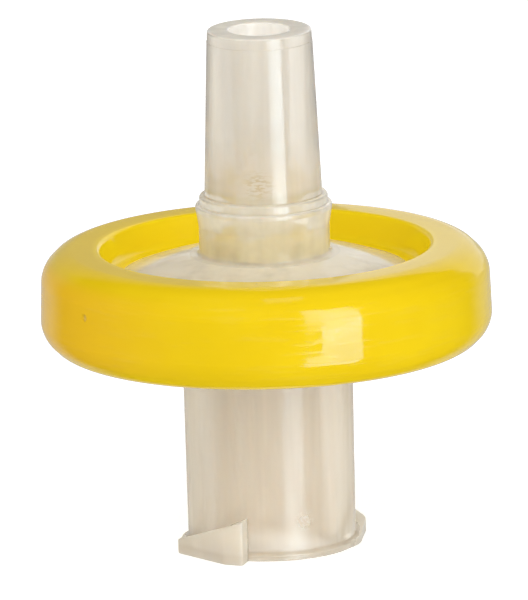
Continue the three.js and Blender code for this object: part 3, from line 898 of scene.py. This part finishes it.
def lug(material):
    """A locking lug, flat below and helical above, rounded where it stands out of the tube."""
    bm = bmesh.new()
    rounded_outline(bm, lug_plan())
    base = bmesh.ops.contextual_create(bm, geom=bm.edges[:])["faces"]
    raised = bmesh.ops.extrude_face_region(bm, geom=base)["geom"]
    for vert in (item for item in raised if isinstance(item, bmesh.types.BMVert)):
        vert.co.z = lug_height(vert.co)
    bmesh.ops.recalc_face_normals(bm, faces=bm.faces)
    inside = TUBE_RADIUS - LUG_ROOT_DEPTH / 2
    outer = [
        edge for edge in bm.edges
        if len(edge.link_faces) == 2 and edge.calc_face_angle() > CREASE_ANGLE
        and max(vert.co.xy.length for vert in edge.verts) > inside
    ]
    bmesh.ops.bevel(
        bm, geom=outer, offset=LUG_EDGE_ROUND, offset_type="OFFSET", affect="EDGES",
        segments=LUG_EDGE_SEGMENTS, profile=0.5, material=-1, clamp_overlap=True,
    )
    return finished("lug", bm, material)


def inlet_housing(material):
    """The lower half, with its distribution ribs and its lugs."""
    piece = finished("inlet_moulding", turned(inlet_outline()), material)
    join(piece, ribs(
        "distribution_ribs", DISTRIBUTION_RIBS, DISTRIBUTION_RIB_WIDTH,
        INLET_HOLE_RADIUS + DISTRIBUTION_RIB_SETBACK, inlet_floor, SEAT_HEIGHT, material,
    ))
    for i in range(LUG_COUNT):
        tooth = lug(material)
        tooth.data.transform(Matrix.Rotation(math.tau * i / LUG_COUNT, 4, "Z"))
        join(piece, tooth)
    return piece


# ---- Membrane and ring ------------------------------------------------------------------

def filter_membrane(material):
    return finished("membrane_disc", turned([
        (PINHOLE_RADIUS, disc_low.z, 0),
        (MEMBRANE_RADIUS, disc_low.z, MEMBRANE_EDGE_ROUND),
        (MEMBRANE_RADIUS, disc_high.z, MEMBRANE_EDGE_ROUND),
        (PINHOLE_RADIUS, disc_high.z, 0),
    ]), material)


def clamp_ring(material):
    """The ring, with a well above and below, and a groove inside that grips both rims."""
    crown = RING_RADIUS - RING_DRAFT * (RING_TOP - RING_BOTTOM)
    return finished("moulded_ring", turned([
        (WELL_FLOOR_RADIUS + WELL_DRAFT * INLET_WELL_DEPTH, RING_BOTTOM, INLET_WELL_LIP_ROUND),
        (RING_RADIUS - RING_CHAMFER, RING_BOTTOM, RING_CHAMFER_ROUND),
        (RING_RADIUS, RING_BOTTOM + RING_CHAMFER, RING_CHAMFER_ROUND),
        (crown, RING_TOP - RING_CHAMFER, RING_CHAMFER_ROUND),
        (crown - RING_CHAMFER, RING_TOP, RING_CHAMFER_ROUND),
        (WELL_TOP_RADIUS, RING_TOP, OUTLET_WELL_LIP_ROUND),
        (WELL_FLOOR_RADIUS, OUTLET_LEDGE, WELL_FOOT_ROUND),
        (WINDOW_RADIUS, OUTLET_LEDGE, RIM_EDGE_ROUND),
        (WINDOW_RADIUS, OUTLET_WEB_BOTTOM, RIM_EDGE_ROUND),
        (GRIP_RADIUS, OUTLET_WEB_BOTTOM, RIM_EDGE_ROUND),
        (GRIP_RADIUS, INLET_WEB_TOP, RIM_EDGE_ROUND),
        (WINDOW_RADIUS, INLET_WEB_TOP, RIM_EDGE_ROUND),
        (WINDOW_RADIUS, INLET_LEDGE, RIM_EDGE_ROUND),
        (WELL_FLOOR_RADIUS, INLET_LEDGE, WELL_FOOT_ROUND),
    ]), material)


# ---- Studio -----------------------------------------------------------------------------

def studio_camera():
    camera = bpy.data.objects.new("camera", bpy.data.cameras.new("camera"))
    bpy.context.scene.collection.objects.link(camera)
    camera.data.lens = CAMERA_LENS
    back = CAMERA_DISTANCE * MM * math.cos(CAMERA_ELEVATION)
    rise = CAMERA_DISTANCE * MM * math.sin(CAMERA_ELEVATION)
    place = Vector((TARGET_OFFSET * MM, -back, TARGET_HEIGHT * MM + rise))
    camera.matrix_world = (
        Matrix.Translation(place)
        @ Matrix.Rotation(math.pi / 2 - CAMERA_ELEVATION, 4, "X")
        @ Matrix.Rotation(CAMERA_ROLL, 4, "Z")
    )
    bpy.context.scene.camera = camera


def studio_floor():
    """White to the eye, dimmer on its left when seen through the part, and a soft light."""
    finish = Finish(bpy.data.materials.new("studio_floor"))
    bearing = finish.node("ShaderNodeVectorMath", {"operation": "NORMALIZE"}, {
        0: finish.coordinates(),
    })
    refracted = finish.ramp(finish.along(bearing, "X"), *FLOOR_THROUGH_PART)
    glow = (
        finish.ray("Camera") * FLOOR_GLOW
        + finish.ray("Transmission") * refracted
        + finish.ray("Diffuse") * FLOOR_BOUNCE
    )
    material = finish.surface(finish.principled({
        "Base Color": finish.blend(finish.noise(*FLOOR_GRAIN), *FLOOR_COLOURS),
        "Roughness": FLOOR_ROUGHNESS,
        "Specular IOR Level": 0.0,
        "Emission Color": WHITE,
        "Emission Strength": glow,
    }))
    bm = bmesh.new()
    bmesh.ops.create_grid(bm, x_segments=1, y_segments=1, size=FLOOR_HALF_WIDTH)
    bmesh.ops.translate(bm, vec=(0, 0, -FLOOR_GAP), verts=bm.verts)
    floor = finished("floor", bm, material)
    floor.visible_glossy = False


def studio_sky():
    """White to the eye, softer as a light, and in reflections white behind and dark in front."""
    world = bpy.data.worlds.new("studio")
    bpy.context.scene.world = world
    sky = Finish(world)
    direction = sky.node("ShaderNodeTexCoord", {}, {}, "Generated")
    across, depth, rise = (sky.along(direction, axis) for axis in "XYZ")
    seen = sky.ray("Camera")
    through = sky.ray("Transmission")
    bounced = sky.ray("Glossy") * (1 - through)
    mirrored = sky.ramp(depth, *SKY_MIRRORED_BEHIND) * sky.ramp(rise, *SKY_MIRRORED_RISE)
    refracted = sky.ramp(across, *SKY_THROUGH_PART)
    rest = (1 - bounced - through - seen) * SKY_LEVEL
    strength = bounced * mirrored + through * refracted + seen + rest
    tint = sky.blend(sky.rising(across, SKY_WHITE_START) + seen, SKY_WARM, WHITE)
    light = sky.node("ShaderNodeBackground", {}, {"Color": tint, "Strength": strength})
    sky.node("ShaderNodeOutputWorld", {}, {"Surface": light})


def panel(name, centre, facing, size, radiance):
    """A rectangular lamp in millimetres at a centre, which shines along facing."""
    width, height = size
    lamp = bpy.data.lights.new(name, "AREA")
    lamp.shape = "RECTANGLE"
    lamp.size = width * MM
    lamp.size_y = height * MM
    lamp.energy = radiance * math.pi * width * height * MM * MM
    made = bpy.data.objects.new(name, lamp)
    bpy.context.scene.collection.objects.link(made)
    made.location = centre * MM
    made.rotation_mode = "QUATERNION"
    made.rotation_quaternion = facing.to_track_quat("-Z", "Y")
    made.visible_camera = False
    return made


def softbox(name, azimuth, elevation, distance, size, radiance, tint, glossy):
    """A panel that faces the part; azimuth counts from -Y towards +X, both in degrees."""
    turn, tilt = math.radians(azimuth), math.radians(elevation)
    out = Vector((
        math.sin(turn) * math.cos(tilt), -math.cos(turn) * math.cos(tilt), math.sin(tilt),
    ))
    made = panel(name, Vector((0, 0, TARGET_HEIGHT)) + out * distance, -out, size, radiance)
    made.data.color = tint
    made.visible_glossy = glossy


def window_pane(name, distance, azimuths, heights, radiance):
    """An upright pane between two azimuths and two heights, which lights no matt surface."""
    low, high = heights
    left, right = (on_circle(distance, azimuth) for azimuth in azimuths)
    middle = (left + right) / 2
    centre = middle + Vector((0, 0, (low + high) / 2))
    made = panel(name, centre, -middle, ((right - left).length, high - low), radiance)
    made.data.color = WINDOW_TINT
    made.visible_diffuse = False


def backdrop():
    """A pale card that is only seen in reflections."""
    towards_front = Vector((0, -1, 0))
    card = panel(
        "backdrop", Vector(BACKDROP_CENTRE), towards_front, BACKDROP_SIZE, BACKDROP_RADIANCE,
    )
    card.visible_diffuse = False
    card.visible_transmission = False


def studio_lights():
    backdrop()
    for pane in WINDOW_PANES:
        window_pane(*pane)
    for box in SOFTBOXES:
        softbox(*box)


# ---- Assembly ---------------------------------------------------------------------------

bpy.context.scene.view_settings.view_transform = "Standard"
studio_camera()
studio_floor()
studio_sky()
studio_lights()

natural = natural_polypropylene()
dress(inlet_housing(natural), "inlet_housing")
dress(outlet_housing(natural), "outlet_housing")
dress(filter_membrane(membrane_white()), "filter_membrane")
dress(clamp_ring(yellow_polypropylene()), "clamp_ring")
